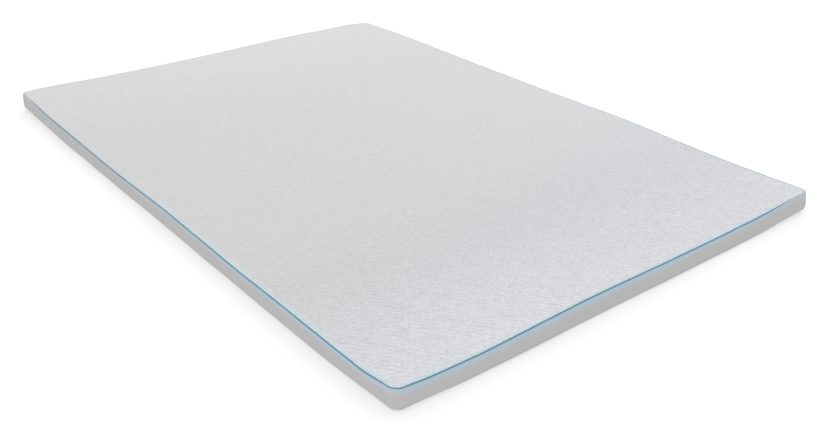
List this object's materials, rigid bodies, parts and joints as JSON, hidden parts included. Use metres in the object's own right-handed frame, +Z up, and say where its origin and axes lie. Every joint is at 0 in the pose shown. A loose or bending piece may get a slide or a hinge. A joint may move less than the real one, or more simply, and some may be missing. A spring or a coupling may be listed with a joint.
{
  "type": "mattress topper",
  "caption": "Thin foam mattress topper lying flat, in a sewn cover with a pale blister-knit top panel, a plain grey side band and coloured piping in the top seam.",
  "frame": {"origin": "on the floor, under the middle of the topper", "axes": "+X across the topper's width, +Y along its length, +Z up"},
  "size_m": [1.4002, 2.0006, 0.0601],
  "materials": {
    "base_cloth": "plain pale base cloth over foam, matt",
    "knit_panel": "thick pale double knit with small raised blisters in staggered rows, matt",
    "band_cloth": "plain light grey knit, matt",
    "piping_cord": "greyish blue woven piping, matt"
  },
  "bodies": {
    "root": {"pad": "base_cloth", "top_panel": "knit_panel", "side_band": "band_cloth", "piping": "piping_cord"}
  },
  "joints": []
}
